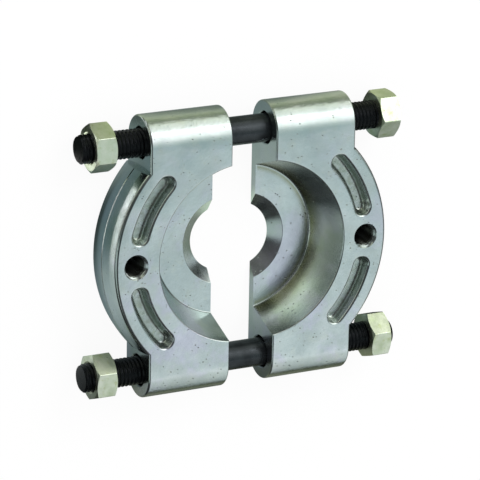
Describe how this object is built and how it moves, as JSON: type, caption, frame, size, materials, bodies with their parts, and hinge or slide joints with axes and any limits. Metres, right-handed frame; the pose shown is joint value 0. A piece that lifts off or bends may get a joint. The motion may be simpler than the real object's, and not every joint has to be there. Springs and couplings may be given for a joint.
{
  "type": "bearing separator",
  "caption": "Two mirrored half plates with a recess and a bevelled shaft opening, drawn together by long studs with hexagon nuts.",
  "frame": {"origin": "on the back plane that the separator lies on, at the middle of its overall length and width", "axes": "+X along the studs towards the right half, +Y from the lower stud to the upper one, +Z out of the recessed front face"},
  "size_m": [0.1688, 0.1416, 0.027],
  "materials": {
    "zinc_plate": "forged and turned steel, bright bluish zinc plating with small pits",
    "black_oxide": "black oxide steel with a satin sheen",
    "yellow_zinc": "pale yellow-green zinc plating, slightly mottled"
  },
  "bodies": {
    "half_plate_left": {"half_plate_left": "zinc_plate"},
    "half_plate_right": {"half_plate_right": "zinc_plate"},
    "stud_upper": {"stud_upper": "black_oxide"},
    "stud_lower": {"stud_lower": "black_oxide"},
    "nut_upper_left": {"nut_upper_left": "yellow_zinc"},
    "nut_lower_left": {"nut_lower_left": "yellow_zinc"},
    "nut_upper_right": {"nut_upper_right": "yellow_zinc"},
    "nut_lower_right": {"nut_lower_right": "yellow_zinc"}
  },
  "joints": [
    {"name": "half_gap_slide", "type": "slide", "parent": "half_plate_left", "child": "half_plate_right", "axis": [1, 0, 0], "range_m": [-0.0229, 0.0145]},
    {"name": "stud_upper_slide", "type": "slide", "parent": "half_plate_left", "child": "stud_upper", "axis": [1, 0, 0], "range_m": [-0.0156, 0.0154]},
    {"name": "stud_lower_slide", "type": "slide", "parent": "half_plate_left", "child": "stud_lower", "axis": [1, 0, 0], "range_m": [-0.0145, 0.0147]},
    {"name": "nut_upper_left_travel", "type": "slide", "parent": "stud_upper", "child": "nut_upper_left", "axis": [-1, 0, 0], "range_m": [-0.0154, 0.0103]},
    {"name": "nut_lower_left_travel", "type": "slide", "parent": "stud_lower", "child": "nut_lower_left", "axis": [-1, 0, 0], "range_m": [-0.0147, 0.0093]},
    {"name": "nut_upper_right_travel", "type": "slide", "parent": "stud_upper", "child": "nut_upper_right", "axis": [1, 0, 0], "range_m": [-0.0156, 0.0054]},
    {"name": "nut_lower_right_travel", "type": "slide", "parent": "stud_lower", "child": "nut_lower_right", "axis": [1, 0, 0], "range_m": [-0.0145, 0.0081]}
  ]
}
